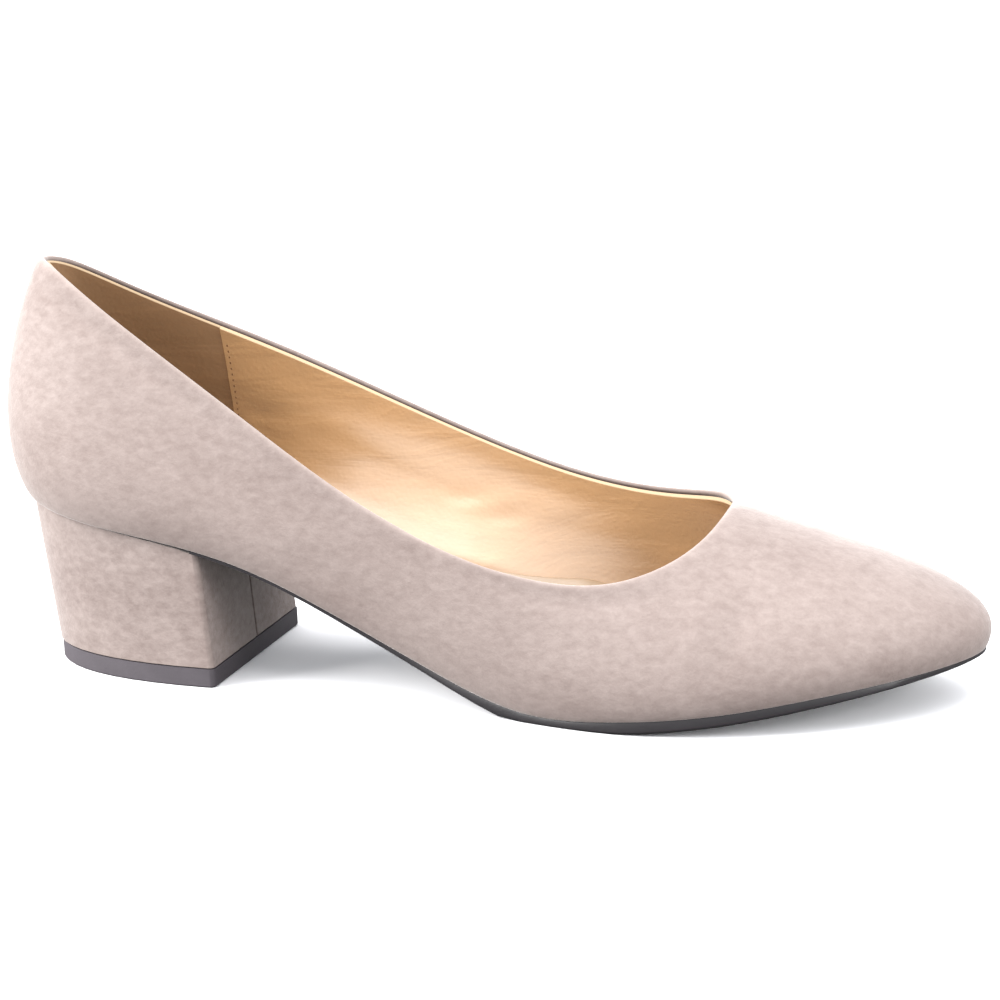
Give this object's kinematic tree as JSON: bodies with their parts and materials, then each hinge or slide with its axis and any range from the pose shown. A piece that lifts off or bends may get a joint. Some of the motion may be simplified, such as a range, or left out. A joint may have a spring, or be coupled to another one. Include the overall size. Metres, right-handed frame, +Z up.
{
  "type": "block heel pump",
  "caption": "Low-cut women's slip-on shoe with a soft round toe, a suede upper open at the collar, a thin curved sole and a wrapped block heel.",
  "frame": {"origin": "on the floor, under the middle of the shoe's bounding box", "axes": "+X towards the toe, +Y towards the inner side of the foot, +Z up; the outer side is -Y"},
  "size_m": [0.25, 0.081, 0.1021],
  "materials": {
    "suede": "matte faux suede with a short soft nap, taupe",
    "lining": "smooth satin lining, pale gold",
    "sole": "fine matte moulded sole unit, dark grey",
    "top_piece": "matte rubber lift, grey"
  },
  "bodies": {
    "root": {"upper": "suede", "insole": "lining", "outsole": "sole", "heel_block": "suede", "heel_top_piece": "top_piece"}
  },
  "joints": []
}
